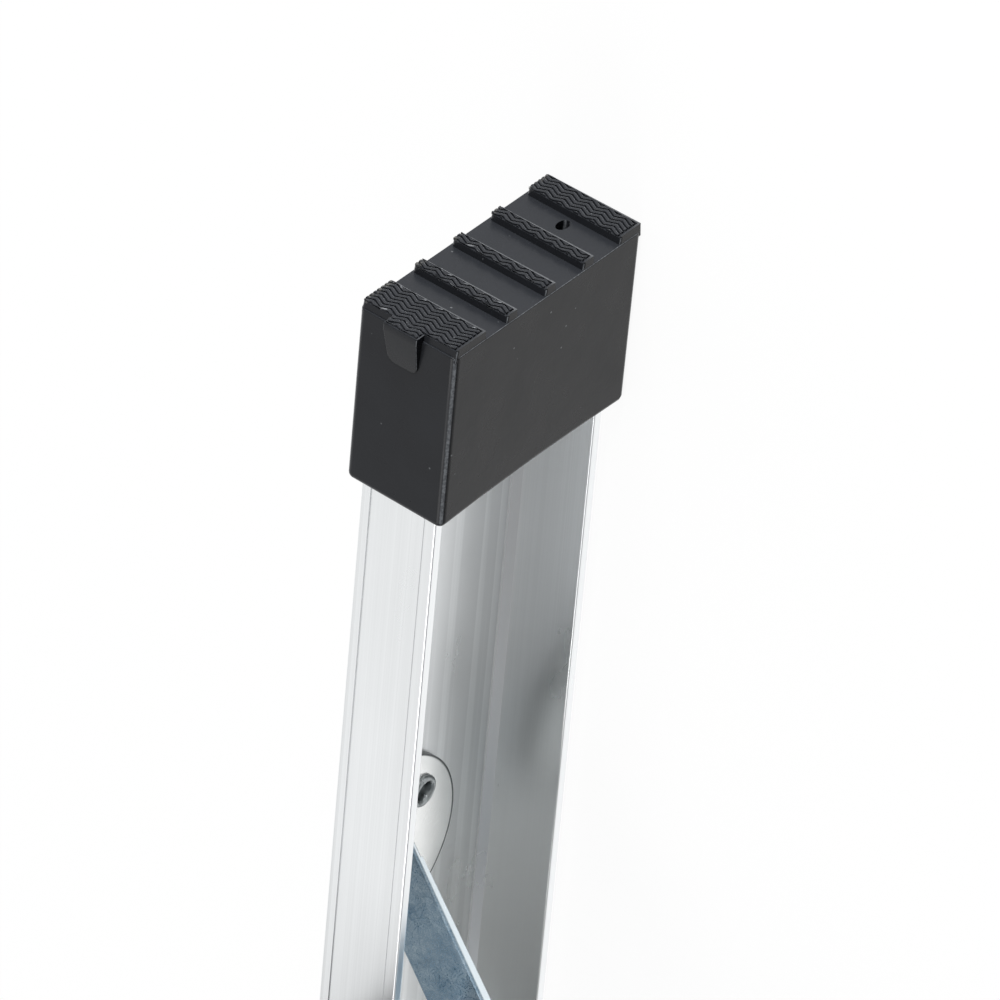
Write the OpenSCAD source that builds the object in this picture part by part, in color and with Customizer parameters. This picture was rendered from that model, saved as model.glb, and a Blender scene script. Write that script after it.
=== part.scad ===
// Two-section aluminium extension ladder, lying on its back as it is stored.
// X runs from the feet to the top, Z from the back (floor) to the climber's side.
// The fly section slides along X in front of the base section.

/* [Ladder] */
// Overall width over the outer faces of the rails
ladder_w = 400; // [320:5:520]
// Length of one rail, the same in both sections
rail_len = 2250; // [2200:10:2380]
// Distance from one rung to the next
rung_pitch = 300; // [290:5:310]
// Gap between the base section and the fly section
section_gap = 2; // [1.5:0.5:5]
// Height of the fly section's foot end above the base section's feet
fly_start = 245; // [240:5:260]

/* [Rail] */
// Depth of the rail, front to back
rail_depth = 65; // [55:1:85]
// Width of the rail's flanges
rail_flange = 23.5; // [20:0.5:32]
// Thickness of the rail's web
rail_wall = 1.6; // [1.2:0.1:2.4]
// Thickness of the rail's flanges
flange_t = 2.9; // [2.2:0.1:4]
// Chamfer between web and flange, inside the rail
rail_root = 2; // [1:0.1:2.5]
// Radius of the rail's outer corners
rail_corner_r = 0.8; // [0.4:0.1:2]

/* [Rung] */
// Diameter of the rung's tube
rung_d = 31; // [25:0.5:36]
// Wall of the rung's tube
rung_wall = 1.8; // [1.4:0.1:2.6]
// Distance from the tube's middle to its flat tread
tread_h = 12.2; // [9:0.1:14.5]
// Tilt of the tread, which makes it level when the ladder leans
tread_tilt = 14.5; // [10:0.5:20]
// Diameter of the swaged collar against the inside of the rail
collar_d = 36; // [33:0.5:44]
// Thickness of that collar
collar_t = 3.5; // [2:0.5:5]

/* [Boot] */
// Wall of the rubber boot on the rail's front and outer side
boot_wall = 2.9; // [2:0.1:5]
// Its wall across the flanges' free edges
boot_side = 3.7; // [2:0.1:5]
// Its wall on the back of the rail, which the ladder lies on
boot_back = 4.1; // [3:0.1:6]
// Length of the boot from its sole to its mouth
boot_len = 52.2; // [40:0.1:70]
// Thickness of the sole under the rail's end
sole_t = 4; // [3:0.5:8]
// Height of the tread pads on the sole
pad_h = 2.5; // [2:0.5:5]
// Radius of the boot's long edges
boot_edge_r = 1.5; // [1.2:0.1:4]

/* [Brace] */
// Width of the brace's strap
brace_w = 20.5; // [16:0.5:26]
// Thickness of the brace's steel
brace_t = 1.8; // [1.5:0.1:3]
// Height of the strap's turned edges, with the strap's own thickness
brace_edge_h = 3.6; // [3:0.1:8]
// Distance of the brace's foot from the sole, at the middle of the strap
brace_foot_x = 173; // [165:1:185]
// Distance of the brace's rung rivet from the outside of the rail
brace_reach = 95.5; // [80:0.5:110]
// Radius of the brace's rounded ear
ear_r = 29; // [24:0.5:32]

/* [Rivets] */
// Diameter of a tubular rivet's shank
rivet_d = 7.6; // [6:0.1:8]
// Diameter of a tubular rivet's head
rivet_head_d = 9.2; // [8.6:0.1:12]
// Diameter of the hollow in a tubular rivet
rivet_hollow_d = 5.6; // [4:0.1:5.8]
// Diameter of a small solid rivet
pop_d = 4.8; // [4:0.1:5.5]

/* [Locks] */
// Thickness of the lock hook
hook_t = 7; // [5:0.5:8]
// Width of the hook's curved arm
hook_w = 12; // [10:0.5:14]
// Diameter of the lock's pivot pin
pin_d = 8; // [6:0.5:9]
// Thickness of the lock bracket's steel
bracket_t = 2; // [1.5:0.1:3]
// Turn from the resting hook to the hooked position, in degrees
lock_swing = 95; // [90:1:98]

/* [Guides and caps] */
// Length of the guide clips along the rail
guide_len = 60; // [40:5:66]
// Thickness of the guide clips
guide_t = 2.3; // [2:0.1:3]
// Thickness of the plastic end caps
cap_t = 3; // [2:0.5:3]
// Length of the end caps along the rail
cap_len = 35; // [25:1:35]

/* [Hidden] */
$fn = 64;
base_rungs = 7;
fly_rungs = 8;
running_gap = 0.3;      // between the sliding faces of guide and rail
press_gap = 0.05;       // between a rivet or rung neck and its hole
half_w = ladder_w / 2;
tip_y = half_w - rail_flange;             // free edge of the flanges
web_in = half_w - rail_wall;              // inner face of the web
base_z = boot_back;                       // back face of the base rails
fly_z = base_z + rail_depth + section_gap;
base_mid = base_z + rail_depth / 2;       // height of the base rungs
fly_mid = fly_z + rail_depth / 2;
fly_end = fly_start + rail_len;
model_mid = (fly_end + boot_wall - pad_h) / 2;
neck_d = rung_d - 4;
collar_y = web_in - collar_t;
flat_in = 0.3;                            // depth of the rung's front and back flats

// ---------- helpers ----------

// Everything is modelled for the left side (+Y) and mirrored for the right
module on_side(side) { mirror([0, side == "right" ? 1 : 0, 0]) children(); }

// A (Y, Z) outline drawn out along X
module along_x(x, len) {
    translate([x, 0, 0]) rotate([90, 0, 90]) linear_extrude(len) children();
}

// An (X, Z) outline drawn out along +Y
module along_y(y, len) {
    translate([0, y + len, 0]) rotate([90, 0, 0]) linear_extrude(len) children();
}

module rod_y(x, y, z, d, len) {
    translate([x, y, z]) rotate([-90, 0, 0]) cylinder(d = d, h = len);
}

module rounded_rect(size, r) {
    translate([r, 0]) square([size.x - 2 * r, size.y]);
    translate([0, r]) square([size.x, size.y - 2 * r]);
    for (x = [r, size.x - r], y = [r, size.y - r]) translate([x, y]) circle(r);
}

// The sharp corner outside a quarter circle, at the origin, pointing down-left
module corner_waste(r) {
    difference() {
        translate([-1, -1]) square(r + 1);
        translate([r, r]) circle(r);
    }
}

// ---------- rails ----------

// C section: web along the left, flanges to the right, back face at the bottom
module rail_profile() {
    tip_r = 0.5;
    difference() {
        union() {
            square([rail_wall, rail_depth]);
            for (m = [0, 1]) translate([0, m * rail_depth]) mirror([0, m]) {
                square([rail_flange, flange_t]);
                translate([rail_wall, flange_t])
                    polygon([[-0.1, -0.1], [rail_root, -0.1], [rail_root, 0],
                             [0, rail_root], [-0.1, rail_root]]);
            }
        }
        for (m = [0, 1]) translate([0, m * rail_depth]) mirror([0, m]) {
            corner_waste(rail_corner_r);
            translate([rail_flange, 0]) mirror([1, 0]) corner_waste(tip_r);
            translate([rail_flange, flange_t]) rotate(180) corner_waste(tip_r);
            // drawn lines in the flange's face
            translate([3, -1]) square([0.9, 1.3]);
            translate([rail_flange - 3.6, -1]) square([0.4, 1.15]);
        }
    }
}

// Rail from one X to another; each hole through its web is [x, z, diameter]
module rail(from, to, z, holes) {
    difference() {
        along_x(from, to - from) translate([half_w, z]) mirror([1, 0]) rail_profile();
        for (h = holes) rod_y(h[0], web_in - 1, h[1], h[2] + 2 * press_gap, rail_wall + 2);
    }
}

base_end = rail_len;
base_guide_x = base_end - cap_len - guide_len - 15;
fly_guide_x = fly_start + cap_len + 8;
guide_rivet_x = [guide_len * 0.2, guide_len * 0.8];
guide_rivet_y = tip_y + 12;

// ---------- rungs ----------

module flat_tube(r, flat, side_flat) {
    intersection() {
        circle(r);
        translate([-r, -side_flat]) square([2 * r, 2 * side_flat]);
        rotate(tread_tilt) translate([-r - 1, -r - 1]) square([r + 1 + flat, 2 * r + 2]);
    }
}

module rung_profile() {
    r = rung_d / 2;
    rib = 1.1;
    difference() {
        union() {
            flat_tube(r, tread_h, r - flat_in);
            rotate(tread_tilt) for (k = [-2:2])
                translate([tread_h - 0.2, k * 3 - rib / 2]) square([0.9, rib]);
        }
        flat_tube(r - rung_wall, tread_h - rung_wall, r - rung_wall - flat_in);
    }
}

// Collar inside the rail, neck through the web and rolled head outside it
module rung_end() {
    bore = neck_d - 2 * rung_wall;
    head_t = 1.8;
    rotate([-90, 0, 0]) rotate_extrude() {
        difference() {
            union() {
                translate([0, collar_y]) square([collar_d / 2 - collar_t / 2, collar_t]);
                translate([collar_d / 2 - collar_t / 2, collar_y + collar_t / 2])
                    circle(d = collar_t);
                translate([0, web_in - 1]) square([neck_d / 2, rail_wall + 1]);
                translate([0, half_w]) square([neck_d / 2 + 2, head_t]);
            }
            translate([-1, collar_y - 1]) square([bore / 2 + 1, 20]);
            translate([neck_d / 2 + 2, half_w + head_t]) rotate(180) corner_waste(1.2);
        }
    }
}

module rung(x, z, pin_y) {
    translate([x, 0, z]) difference() {
        union() {
            rotate([90, 0, 0]) linear_extrude(2 * collar_y, center = true) rung_profile();
            for (m = [0, 1]) mirror([0, m, 0]) rung_end();
        }
        if (pin_y > 0) for (m = [0, 1]) mirror([0, m, 0])
            translate([0, pin_y, 0]) cylinder(d = rivet_d + 2 * press_gap, h = rung_d);
    }
}

// ---------- boots ----------

boot_y0 = tip_y - boot_side;
boot_w = rail_flange + boot_wall + boot_side;
boot_d = rail_depth + boot_wall + boot_back;

// Tread pad across the sole, with a draft on its walls and rounded corners
module boot_pad(z0, z1) {
    r = 1.4;
    draft = 0.4;
    hull()
        for (y = [boot_y0 + r + 0.1, boot_y0 + boot_w - r - 0.4], z = [z0 + r, z1 - r])
            translate([-pad_h, y, z]) rotate([0, 90, 0]) {
                cylinder(r1 = r - draft - 0.3, r2 = r - draft, h = 0.3, $fn = 24);
                translate([0, 0, 0.3]) cylinder(r1 = r - draft, r2 = r, h = pad_h, $fn = 24);
            }
}

// Places on the sole are measured from the front of the boot towards the floor, and
// from its inner side outwards
module boot() {
    hole_at = [59.7, 15.3];
    pads = [[0.3, 11.9], [19.5, 23.9], [34.3, 38.6], [48.9, 53.4], [63.2, 71.7]] * boot_d / 72;
    tongue = [10.3, 20.7];
    tongue_out = 2.4;
    front = boot_d - 2;
    color("#3a3c3f") difference() {
        union() {
            hull() for (y = [boot_edge_r, boot_w - boot_edge_r],
                        z = [boot_edge_r, boot_d - boot_edge_r])
                translate([0, boot_y0 + y, z]) rotate([0, 90, 0]) {
                    cylinder(r = boot_edge_r - 0.8, h = 0.5, $fn = 32);
                    translate([0, 0, 0.8]) cylinder(r = boot_edge_r, h = boot_len - 1.2, $fn = 32);
                    cylinder(r = boot_edge_r - 0.4, h = boot_len, $fn = 32);
                }
            for (p = pads) boot_pad(boot_d - p[1], boot_d - p[0]);
            // grip tongue on the front face, thinning away from the sole
            hull() {
                for (x = [1 - pad_h, 0], y = [tongue[0] + 1, tongue[1] - 1])
                    translate([x, boot_y0 + y, front])
                        cylinder(r = 1, h = 2 + tongue_out, $fn = 24);
                for (y = [tongue[0] + 2, tongue[1] - 2])
                    translate([8.5, boot_y0 + y, front]) cylinder(r = 2, h = 2.1, $fn = 24);
            }
        }
        translate([sole_t, tip_y, base_z]) cube([boot_len, rail_flange, rail_depth]);
        hull() for (z = [-1, 1]) translate([-1, boot_y0 + hole_at[1], boot_d - hole_at[0] + z])
            rotate([0, 90, 0]) cylinder(d = 3.2, h = 4, $fn = 32);
    }
}

// ---------- braces ----------

strap_top = base_mid + rung_d / 2 - flat_in + brace_t;   // front face of the strap
brace_rung_y = half_w - brace_reach;
strap_run = [rung_pitch - brace_foot_x, web_in - brace_rung_y];
strap_len = norm(strap_run);
strap_angle = atan2(strap_run[1], strap_run[0]);
ear_rivets = [[brace_foot_x - 4.5, base_mid + 1.1], [brace_foot_x + 29, base_mid + 6]];
// the rolled tail inside the round rung seats a little below the flat
rung_bore_r = rung_d / 2 - rung_wall;
tail_drop = rung_bore_r - flat_in - sqrt(pow(rung_bore_r, 2) - pow(rivet_head_d / 2, 2)) + 0.05;

module brace() {
    color("#9fb0bd") difference() {
        union() {
            // ear against the inside of the web
            along_y(web_in - brace_t, brace_t) intersection() {
                translate([brace_foot_x + 9, strap_top - brace_t / 2]) circle(ear_r);
                translate([brace_foot_x - ear_r, 0]) square([3 * ear_r, strap_top]);
            }
            intersection() {
                translate([brace_foot_x, web_in, strap_top - brace_t])
                    rotate([0, 0, -strap_angle]) strap();
                translate([0, -half_w, 0]) cube([rail_len, half_w + web_in, rail_depth * 2]);
            }
        }
        for (p = ear_rivets) rod_y(p[0], web_in - 10, p[1], rivet_d + 2 * press_gap, 20);
        translate([rung_pitch, brace_rung_y, strap_top - 10])
            cylinder(d = rivet_d + 2 * press_gap, h = 20);
    }
}

// Strap along +X from the fold to the rung's rivet. Its edges turn down, and they
// deepen from the ear towards the rung.
module strap() {
    half = brace_w / 2 - brace_t / 2;
    overrun = 30;
    low = brace_t / 2 - brace_edge_h;
    translate([-overrun, -half, 0]) cube([strap_len + overrun, 2 * half, brace_t]);
    translate([strap_len, 0, 0]) cylinder(d = brace_w, h = brace_t);
    for (m = [0, 1]) mirror([0, m, 0]) {
        translate([-overrun, half, brace_t / 2]) rotate([0, 90, 0])
            cylinder(d = brace_t, h = strap_len + overrun);
        translate([0, brace_w / 2, brace_t / 2]) rotate([90, 0, 0])
            linear_extrude(1.5)
                polygon([[10, 0], [10, -brace_t / 2], [strap_len - 50, low],
                         [strap_len - 40, low], [strap_len - 30, -brace_t / 2],
                         [strap_len - 30, 0]]);
    }
}

// Hollow rivet on +Z: head on top of the origin, shank and rolled tail below it
module tubular_rivet(grip) {
    head_h = 1.7;
    tail_h = 1.6;
    rotate_extrude() difference() {
        union() {
            translate([0, -grip - tail_h]) square([rivet_d / 2, grip + tail_h + head_h]);
            square([rivet_head_d / 2 - head_h / 2, head_h]);
            translate([rivet_head_d / 2 - head_h / 2, head_h / 2]) circle(d = head_h);
            translate([0, -grip - tail_h]) square([rivet_head_d / 2 - tail_h / 2, tail_h]);
            translate([rivet_head_d / 2 - tail_h / 2, -grip - tail_h / 2]) circle(d = tail_h);
        }
        translate([-1, -grip - tail_h - 1]) square([rivet_hollow_d / 2 + 1, grip + 20]);
    }
}

module brace_rivets() {
    color("#b9bdbd") {
        for (p = ear_rivets)
            translate([p[0], web_in - brace_t, p[1]]) rotate([90, 0, 0])
                tubular_rivet(brace_t + rail_wall);
        translate([rung_pitch, brace_rung_y, strap_top])
            tubular_rivet(brace_t + rung_wall + tail_drop);
    }
}

// ---------- caps ----------

// Cap on a rail's end at the origin, its plug pointing to +X. It covers the rail's
// outer side and one of its two faces, and leaves the face next to the other
// section flush.
module end_cap(z, cover_front) {
    low = cover_front ? 0 : base_z;        // the base's cap is as thick as its boots
    plug_z = z + flange_t + rail_root;
    plug_h = rail_depth - 2 * (flange_t + rail_root);
    wall = 2.5;
    color("#2b2d2f") {
        difference() {
            along_x(-cap_t, cap_len + cap_t) translate([tip_y, z - low])
                rounded_rect([rail_flange + cap_t, rail_depth + max(low, cap_t)], 1.5);
            translate([0, tip_y - 1, z]) cube([cap_len + 1, rail_flange + 1, rail_depth]);
        }
        difference() {
            translate([-0.5, tip_y, plug_z]) cube([cap_len, web_in - tip_y, plug_h]);
            translate([wall, tip_y + wall, plug_z + wall])
                cube([cap_len, web_in - tip_y - 2 * wall, plug_h / 2 - 1.5 * wall]);
            translate([wall, tip_y + wall, plug_z + plug_h / 2 + wall / 2])
                cube([cap_len, web_in - tip_y - 2 * wall, plug_h / 2 - 1.5 * wall]);
        }
    }
}

// Rubber bumper that wraps the top end of the fly rail
module bumper() {
    r = 3;
    w = rail_flange + 2 * boot_wall;
    d = rail_depth + 2 * boot_wall;
    color("#2b2d2f") difference() {
        hull() for (y = [r, w - r], z = [r, d - r])
            translate([fly_end, tip_y - boot_wall + y, fly_z - boot_wall + z])
                rotate([0, 90, 0]) {
                    translate([0, 0, -cap_len]) cylinder(r = r, h = cap_len + 1, $fn = 32);
                    cylinder(r = r - 1.2, h = boot_wall, $fn = 32);
                }
        translate([fly_end - cap_len - 1, tip_y, fly_z])
            cube([cap_len + 1, rail_flange, rail_depth]);
    }
}

// ---------- guides ----------

// Clip riveted inside the fly's back flange. It reaches down past the free edges
// of both flanges and hooks under the base's front flange.
module guide_profile() {
    leg_y = tip_y - 1;
    seat = fly_z + flange_t;
    foot = fly_z - section_gap - flange_t - running_gap;
    reach = 9;
    end_y = tip_y + rail_flange - 5;
    bend = 1;
    polygon([
        [leg_y - guide_t + bend, foot - guide_t], [tip_y + reach, foot - guide_t],
        [tip_y + reach, foot], [leg_y, foot], [leg_y, seat], [end_y, seat],
        [end_y, seat + guide_t], [leg_y - guide_t + bend, seat + guide_t],
        [leg_y - guide_t, seat + guide_t - bend], [leg_y - guide_t, foot - guide_t + bend]]);
}

module fly_guide(x) {
    seat = fly_z + flange_t;
    color("#c9ccce") difference() {
        along_x(x, guide_len) guide_profile();
        for (dx = guide_rivet_x)
            translate([x + dx, guide_rivet_y, seat - 1])
                cylinder(d = pop_d + 2 * press_gap, h = guide_t + 2);
    }
}

// The base's guide is the fly's guide turned over about the middle of the gap
module turn_over() {
    translate([0, 0, fly_z - section_gap / 2]) mirror([0, 0, 1])
        translate([0, 0, section_gap / 2 - fly_z]) children();
}

// Rivet flush with the flange's outer face, with a round head on the guide
module guide_rivet(x) {
    grip = flange_t + guide_t;
    color("#d5d8da") translate([x, guide_rivet_y, fly_z]) {
        cylinder(d = pop_d, h = grip);
        translate([0, 0, grip]) intersection() {
            translate([0, 0, -4]) sphere(r = 6);
            cylinder(d = pop_d * 2, h = 3);
        }
    }
}

module flange_holes(x) {
    for (dx = guide_rivet_x) translate([x + dx, guide_rivet_y, fly_z - 1])
        cylinder(d = pop_d + 2 * press_gap, h = flange_t + 2);
}

// ---------- rung locks ----------

lock_x = rung_pitch + rung_d / 2 + 19;     // pivot, above the fly's first rung
lock_z = fly_mid - 5;
seat_r = rung_d / 2 + 0.6;                 // hollow of the hook round the base rung
hub_r = pin_d / 2 + 8;
hook_y = tip_y - 14.5;                     // inner face of the hook
bracket_y = hook_y - bracket_t - 5.5;      // inner face of the bracket's inner plate
bracket_top = fly_z + rail_depth - flange_t - rail_root - 0.3;
bracket_rivets = [[lock_x + 22, lock_z - 6], [lock_x + 44, lock_z - 6],
                  [lock_x + 33, lock_z + 18]];

module bracket_outline() {
    r = 6;
    low = lock_z - hub_r - 2;
    hull() {
        translate([lock_x, lock_z]) circle(hub_r + 2, $fn = 32);
        translate([lock_x - hub_r + 4, bracket_top - 6]) circle(r, $fn = 32);
        for (z = [low + r, bracket_top - r]) translate([lock_x + 50, z]) circle(r, $fn = 32);
    }
}

module lock_bracket() {
    back_x = lock_x - hub_r + 4;
    color("#a9adb0") difference() {
        union() {
            along_y(bracket_y, bracket_t) bracket_outline();
            along_y(web_in - bracket_t, bracket_t) bracket_outline();
            translate([back_x, bracket_y, bracket_top - bracket_t])
                cube([lock_x + 50 - back_x, web_in - bracket_y, bracket_t]);
        }
        rod_y(lock_x, bracket_y - 1, lock_z, pin_d + 2 * press_gap, web_in);
        for (p = bracket_rivets)
            rod_y(p[0], web_in - 10, p[1], pop_d + 2 * press_gap, 20);
        // window that lightens the inner plate
        translate([lock_x + 24, bracket_y - 1, lock_z - 6]) cube([18, bracket_t + 2, 20]);
    }
}

// Pin from a head on the bracket's inner plate to a peened end outside the rail
module lock_pin() {
    color("#8f9498") {
        rod_y(lock_x, bracket_y - 3, lock_z, pin_d + 5, 3);
        rod_y(lock_x, bracket_y - 1, lock_z, pin_d, half_w - bracket_y + 1.5);
        rod_y(lock_x, half_w, lock_z, pin_d + 4, 1.5);
    }
}

module lock_bushing() {
    bore = pin_d + 2 * press_gap;
    inner = bracket_y + bracket_t;
    color("#e8e6dc") difference() {
        union() {
            rod_y(lock_x, inner, lock_z, pin_d + 6, hook_y - inner - running_gap);
            rod_y(lock_x, hook_y + hook_t + running_gap, lock_z, pin_d + 2.4,
                  web_in - bracket_t - hook_y - hook_t - running_gap);
            rod_y(lock_x, hook_y + hook_t + running_gap, lock_z, pin_d + 6, 1.5);
        }
        rod_y(lock_x, inner - 1, lock_z, bore, web_in);
    }
}

module lock_rivets() {
    grip = bracket_t + rail_wall;
    color("#d5d8da") for (side = ["left", "right"]) on_side(side)
        for (p = bracket_rivets) {
            rod_y(p[0], web_in - bracket_t, p[1], pop_d, grip);
            translate([p[0], web_in - bracket_t, p[1]]) rotate([90, 0, 0]) rivet_dome();
            translate([p[0], half_w, p[1]]) rotate([-90, 0, 0]) rivet_dome();
        }
}

module rivet_dome() {
    intersection() {
        translate([0, 0, -4]) sphere(r = 6);
        cylinder(d = pop_d * 2, h = 3);
    }
}

// Hook drawn round the base rung at the origin, with its pivot at (px, pz)
module hook_outline(px, pz) {
    from = -115;                           // tip of the hook
    to = 50;                               // front lip of the hollow
    out_r = seat_r + hook_w;
    far = 2 * out_r;
    mid_r = seat_r + hook_w / 2;
    difference() {
        union() {
            intersection() {
                circle(out_r);
                polygon([[0, 0], far * [cos(from + 2), sin(from + 2)], far * [0, -1],
                         far * [1, -1], far * [1, 1], far * [cos(to), sin(to)]]);
            }
            translate(mid_r * [cos(from), sin(from)]) circle(hook_w / 2);
            // arm from the hub down to the curved part
            polygon([[px - hub_r + 0.4, pz], (seat_r - 1) * [cos(to), sin(to)],
                     (out_r - 1) * [cos(-20), sin(-20)], (out_r - 0.4) * [cos(8), sin(8)],
                     [px + hub_r - 0.4, pz]]);
            translate([px, pz]) circle(hub_r);
        }
        circle(seat_r);
    }
}

// The hook rests swung up beside its bracket, clear of every base rung
module lock_hook() {
    px = lock_x - rung_pitch;
    pz = lock_z - base_mid;
    color("#c2c5c7") difference() {
        translate([lock_x, 0, lock_z]) rotate([0, -lock_swing, 0]) along_y(hook_y, hook_t)
            translate([-px, -pz]) hook_outline(px, pz);
        rod_y(lock_x, hook_y - 1, lock_z, pin_d + 2 * press_gap, hook_t + 2);
    }
}

// Torsion spring: turns round the bushing, and a straight leg up to the bracket
spring_wire = 1.6;
spring_r = pin_d / 2 + 1.2 + 0.2 + spring_wire / 2;
spring_turns = 5;
spring_steps = 20;

function spring_point(i) = let (a = 360 * i / spring_steps)
    [spring_r * cos(a), i / spring_steps * (spring_wire + 0.7), spring_r * sin(a)];

function spring_path() = let (
        last = spring_turns * spring_steps,
        y_end = spring_turns * (spring_wire + 0.7),
        leg = bracket_top - bracket_t - lock_z - spring_wire / 2)
    concat([[spring_r, 0, -hub_r]], [for (i = [0:last]) spring_point(i)],
           [[spring_r, y_end, leg]]);

function ring_at(p, t, r, n) = let (
        u = cross(t, [0, 1, 0.001]), e1 = u / norm(u), e2 = cross(t, e1) / norm(t))
    [for (k = [0:n - 1]) p + r * (cos(360 * k / n) * e1 + sin(360 * k / n) * e2)];

module swept_wire(path, r, n) {
    m = len(path);
    tangent = [for (i = [0:m - 1]) path[min(i + 1, m - 1)] - path[max(i - 1, 0)]];
    rings = [for (i = [0:m - 1]) ring_at(path[i], tangent[i], r, n)];
    points = [for (ring = rings, p = ring) p];
    sides = [for (i = [0:m - 2], k = [0:n - 1])
        [i * n + k, i * n + (k + 1) % n, (i + 1) * n + (k + 1) % n, (i + 1) * n + k]];
    polyhedron(points, concat([[for (k = [n - 1:-1:0]) k]], sides,
                              [[for (k = [0:n - 1]) (m - 1) * n + k]]), convexity = 10);
}

module lock_spring() {
    start_y = hook_y + hook_t + running_gap + 1.5 + spring_wire;
    color("#6f7377") translate([lock_x, start_y, lock_z])
        swept_wire(spring_path(), spring_wire / 2, 8);
}

// ---------- sections ----------

ear_holes = [for (p = ear_rivets) [p[0], p[1], rivet_d]];
lock_holes = concat([[lock_x, lock_z, pin_d]],
                    [for (p = bracket_rivets) [p[0], p[1], pop_d]]);

module base_rail() {
    rungs = [for (i = [1:base_rungs]) [rung_pitch * i, base_mid, neck_d]];
    color("#d3d5d7") difference() {
        rail(sole_t, base_end, base_z, concat(rungs, ear_holes));
        turn_over() flange_holes(base_guide_x);
    }
}

module fly_rail() {
    rungs = [for (i = [1:fly_rungs]) [rung_pitch * i, fly_mid, neck_d]];
    color("#d3d5d7") difference() {
        rail(fly_start, fly_end, fly_z, concat(rungs, lock_holes));
        flange_holes(fly_guide_x);
    }
}

module base_rung(i) {
    color("#cfd2d4") rung(rung_pitch * i, base_mid, i == 1 ? brace_rung_y : 0);
}

module fly_rung(i) {
    color("#cfd2d4") rung(rung_pitch * i, fly_mid, 0);
}

module base_top_cap() {
    translate([base_end, 0, 0]) mirror([1, 0, 0]) end_cap(base_z, false);
}

module fly_bottom_cap() { translate([fly_start, 0, 0]) end_cap(fly_z, true); }

module base_guide() { turn_over() fly_guide(base_guide_x); }

module base_guide_rivets() {
    for (side = ["left", "right"], dx = guide_rivet_x)
        on_side(side) turn_over() guide_rivet(base_guide_x + dx);
}

module fly_guide_rivets() {
    for (side = ["left", "right"], dx = guide_rivet_x)
        on_side(side) guide_rivet(fly_guide_x + dx);
}

// The origin is under the middle of the whole ladder
translate([-model_mid, 0, 0]) {
    for (side = ["left", "right"]) {
        on_side(side) base_rail();
        on_side(side) boot();
        on_side(side) brace();
        on_side(side) brace_rivets();
        on_side(side) base_top_cap();
        on_side(side) base_guide();
        on_side(side) fly_rail();
        on_side(side) fly_bottom_cap();
        on_side(side) bumper();
        on_side(side) fly_guide(fly_guide_x);
        on_side(side) lock_bracket();
        on_side(side) lock_pin();
        on_side(side) lock_bushing();
        on_side(side) lock_spring();
        on_side(side) lock_hook();
    }
    for (i = [1:base_rungs])
        base_rung(i);
    for (i = [1:fly_rungs])
        fly_rung(i);
    base_guide_rivets();
    fly_guide_rivets();
    lock_rivets();
}
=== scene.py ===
"""Looks of the two-section extension ladder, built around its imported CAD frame."""
import math

import bmesh
import bpy
from mathutils import Matrix, Vector


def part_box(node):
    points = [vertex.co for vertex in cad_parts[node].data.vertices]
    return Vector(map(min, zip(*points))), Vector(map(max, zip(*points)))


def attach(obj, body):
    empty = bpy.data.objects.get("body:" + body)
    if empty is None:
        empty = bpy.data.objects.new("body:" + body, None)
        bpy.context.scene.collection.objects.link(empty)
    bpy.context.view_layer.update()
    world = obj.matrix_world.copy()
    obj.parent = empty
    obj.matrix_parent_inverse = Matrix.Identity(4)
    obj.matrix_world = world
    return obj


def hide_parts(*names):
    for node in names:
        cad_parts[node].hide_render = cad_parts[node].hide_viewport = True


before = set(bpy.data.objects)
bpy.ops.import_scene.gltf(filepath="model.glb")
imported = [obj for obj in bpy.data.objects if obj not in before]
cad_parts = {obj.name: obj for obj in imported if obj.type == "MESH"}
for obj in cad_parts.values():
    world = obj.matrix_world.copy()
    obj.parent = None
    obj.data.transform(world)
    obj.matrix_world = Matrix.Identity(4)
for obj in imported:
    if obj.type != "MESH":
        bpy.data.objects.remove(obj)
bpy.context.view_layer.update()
MM = 0.001

# ---------------------------------------------------------------- the frame's own sizes

rail_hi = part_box("base_rail_right")[1]
boot_lo, boot_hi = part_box("boot_right")
PAD_HIGH = 2.5                            # mm that the tread pads stand on the sole
sole_x = boot_lo[0] + PAD_HIGH * MM       # plane of the sole
boot_len = boot_hi[0] - sole_x
brace_lo, brace_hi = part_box("brace_right")
RAIL_FLANGE, RAIL_DEPTH = 23.5, 65        # mm
WEB_IN = 198.4                            # mm from the ladder's middle to a web's inner face
BRACE_THICK = 1.8                         # mm
RAIL_MID = 0.0366                         # height of the base rails' middle, in metres
EAR_RADIUS = 29                           # mm
# x, z and radius of the brace's round ear
EAR = (brace_lo[0] + EAR_RADIUS * MM, brace_hi[2] - BRACE_THICK / 2 * MM, EAR_RADIUS * MM)


def foot(along, out, back):
    """Place on the right foot in mm: along the rail from the sole, out from the rail's
    free edges, and back from its front face."""
    return Vector((sole_x + along * MM, rail_hi[1] - out * MM, rail_hi[2] - back * MM))


# ---------------------------------------------------------------- camera

def add_camera():
    """Close view of the right foot from inside and in front, with the foot up."""
    right = Vector((-0.0726, 0.7749, -0.6279))
    down = Vector((0.7805, 0.4361, 0.4480))
    ahead = right.cross(down).normalized()
    up = (-down).normalized()
    right = ahead.cross(up)
    turn = Matrix((right, up, -ahead)).transposed()
    camera = bpy.data.cameras.new("camera")
    camera.lens = 404.08
    camera.sensor_width = 36
    camera.clip_end = 50
    view = bpy.data.objects.new("camera", camera)
    place = foot(0, 0, 0) + Vector((-1.6408, 1.2540, 1.7188))
    view.matrix_world = Matrix.Translation(place) @ turn.to_4x4()
    bpy.context.scene.collection.objects.link(view)
    bpy.context.scene.camera = view


# ---------------------------------------------------------------- modelling helpers

def clear_selection():
    if bpy.context.mode != "OBJECT":
        bpy.ops.object.mode_set(mode="OBJECT")
    bpy.ops.object.select_all(action="DESELECT")


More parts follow.
